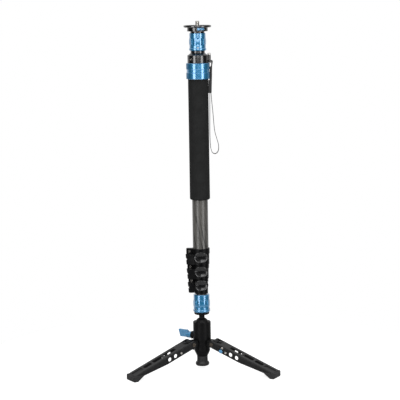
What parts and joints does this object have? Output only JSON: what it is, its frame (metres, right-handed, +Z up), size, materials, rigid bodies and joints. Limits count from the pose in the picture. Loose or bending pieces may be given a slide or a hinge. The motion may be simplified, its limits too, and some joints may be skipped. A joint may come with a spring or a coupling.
{
  "type": "camera monopod",
  "caption": "Camera monopod with telescoping carbon tubes, flip locks, foam grip, wrist strap, tilting ball base and fold-out legs.",
  "frame": {"origin": "on the floor at the middle of the rectangle that the three leg feet cover; the pole stands 41.07 mm from it towards -Y", "axes": "+Z up along the pole, -Y towards the pictured side, +X to the right seen from that side"},
  "size_m": [0.3506, 0.3046, 0.8056],
  "materials": {
    "blue_anodised": "anodised, satin",
    "black_anodised": "anodised, gloss",
    "black_cast": "powder coated, satin",
    "grey_leg": "powder coated, matt",
    "carbon": "woven carbon fibre under clear lacquer",
    "steel": "bright",
    "black_plastic": "moulded",
    "grip_rubber": "matt foam rubber",
    "foot_rubber": "satin",
    "webbing": "woven nylon"
  },
  "bodies": {
    "base": {"hub_body": "black_anodised", "centre_foot": "foot_rubber", "foot_bolt": "steel", "leg_pins": "steel"},
    "ball_cup": {"ball_cup": "black_plastic"},
    "ball_stem": {"ball_stem": "black_anodised"},
    "section_4": {"tube_4": "carbon", "guide_bush_4": "black_plastic", "lower_collar": "blue_anodised", "lower_collar_screws": "steel"},
    "section_3": {"tube_3": "carbon", "guide_bush_3": "black_plastic", "lock_clamp_3": "black_cast", "lock_bush_3": "black_plastic", "lock_hardware_3": "steel"},
    "section_2": {"tube_2": "carbon", "guide_bush_2": "black_plastic", "lock_clamp_2": "black_cast", "lock_bush_2": "black_plastic", "lock_hardware_2": "steel"},
    "section_1": {"tube_1": "carbon", "lock_clamp_1": "black_cast", "lock_bush_1": "black_plastic", "lock_hardware_1": "steel", "grip_sleeve": "grip_rubber", "grip_collar": "blue_anodised", "shoulder_cap": "black_anodised", "shoulder_screw": "steel", "strap_pin": "steel", "strap_tab": "webbing", "wrist_strap": "webbing", "coupling_bolt": "steel", "top_collar": "blue_anodised", "top_collar_screw": "steel", "wheel_housing": "black_anodised", "camera_plate": "black_anodised", "plate_pad": "grip_rubber"},
    "lever_1": {"lock_lever_1": "black_cast"},
    "lever_2": {"lock_lever_2": "black_cast"},
    "lever_3": {"lock_lever_3": "black_cast"},
    "stud": {"stud_wheel": "blue_anodised", "mounting_stud": "steel"},
    "knob": {"lock_knob": "blue_anodised", "knob_shaft": "steel"},
    "leg_1": {"leg_arm_1": "grey_leg", "leg_foot_1": "foot_rubber", "leg_screws_1": "steel", "leg_spring_1": "steel"},
    "button_1": {"leg_button_1": "blue_anodised"},
    "leg_2": {"leg_arm_2": "grey_leg", "leg_foot_2": "foot_rubber", "leg_screws_2": "steel", "leg_spring_2": "steel"},
    "button_2": {"leg_button_2": "blue_anodised"},
    "leg_3": {"leg_arm_3": "grey_leg", "leg_foot_3": "foot_rubber", "leg_screws_3": "steel", "leg_spring_3": "steel"},
    "button_3": {"leg_button_3": "blue_anodised"}
  },
  "joints": [
    {"name": "ball_turn", "type": "hinge", "parent": "base", "child": "ball_cup", "pos_m": [0, -0.04107, 0.1071], "axis": [0, 0, 1], "continuous": true},
    {"name": "ball_tilt", "type": "hinge", "parent": "ball_cup", "child": "ball_stem", "pos_m": [0, -0.04107, 0.1071], "axis": [1, 0, 0], "range_deg": [0, 30]},
    {"name": "pole_spin", "type": "hinge", "parent": "ball_stem", "child": "section_4", "pos_m": [0, -0.04107, 0.1071], "axis": [0, 0, 1], "continuous": true},
    {"name": "slide_3", "type": "slide", "parent": "section_4", "child": "section_3", "axis": [0, 0, 1], "range_m": [0, 0.365]},
    {"name": "slide_2", "type": "slide", "parent": "section_3", "child": "section_2", "axis": [0, 0, 1], "range_m": [0, 0.365]},
    {"name": "slide_1", "type": "slide", "parent": "section_2", "child": "section_1", "axis": [0, 0, 1], "range_m": [0, 0.365]},
    {"name": "lever_1_turn", "type": "hinge", "parent": "section_1", "child": "lever_1", "pos_m": [-0.029, -0.05007, 0], "axis": [0, 0, -1], "range_deg": [0, 110]},
    {"name": "lever_2_turn", "type": "hinge", "parent": "section_2", "child": "lever_2", "pos_m": [-0.027, -0.05007, 0], "axis": [0, 0, -1], "range_deg": [0, 110]},
    {"name": "lever_3_turn", "type": "hinge", "parent": "section_3", "child": "lever_3", "pos_m": [-0.025, -0.05007, 0], "axis": [0, 0, -1], "range_deg": [0, 110]},
    {"name": "stud_turn", "type": "hinge", "parent": "section_1", "child": "stud", "pos_m": [0, -0.04107, 0], "axis": [0, 0, 1], "continuous": true},
    {"name": "knob_turn", "type": "hinge", "parent": "base", "child": "knob", "pos_m": [0, -0.04107, 0.0783], "axis": [-0.866, 0.5, 0], "range_deg": [0, 180]},
    {"name": "leg_1_fold", "type": "hinge", "parent": "base", "child": "leg_1", "pos_m": [0.02858, -0.05757, 0.0643], "axis": [0.5, 0.866, 0], "range_deg": [-100, 0]},
    {"name": "button_1_press", "type": "slide", "parent": "leg_1", "child": "button_1", "axis": [0.5, 0.866, 0], "range_m": [0, 0.002], "stiffness_N_per_m": 800, "deforming": ["leg_spring_1"]},
    {"name": "leg_2_fold", "type": "hinge", "parent": "base", "child": "leg_2", "pos_m": [0, -0.00807, 0.0643], "axis": [-1, 0, 0], "range_deg": [-100, 0]},
    {"name": "button_2_press", "type": "slide", "parent": "leg_2", "child": "button_2", "axis": [-1, 0, 0], "range_m": [0, 0.002], "stiffness_N_per_m": 800, "deforming": ["leg_spring_2"]},
    {"name": "leg_3_fold", "type": "hinge", "parent": "base", "child": "leg_3", "pos_m": [-0.02858, -0.05757, 0.0643], "axis": [0.5, -0.866, 0], "range_deg": [-100, 0]},
    {"name": "button_3_press", "type": "slide", "parent": "leg_3", "child": "button_3", "axis": [0.5, -0.866, 0], "range_m": [0, 0.002], "stiffness_N_per_m": 800, "deforming": ["leg_spring_3"]}
  ]
}
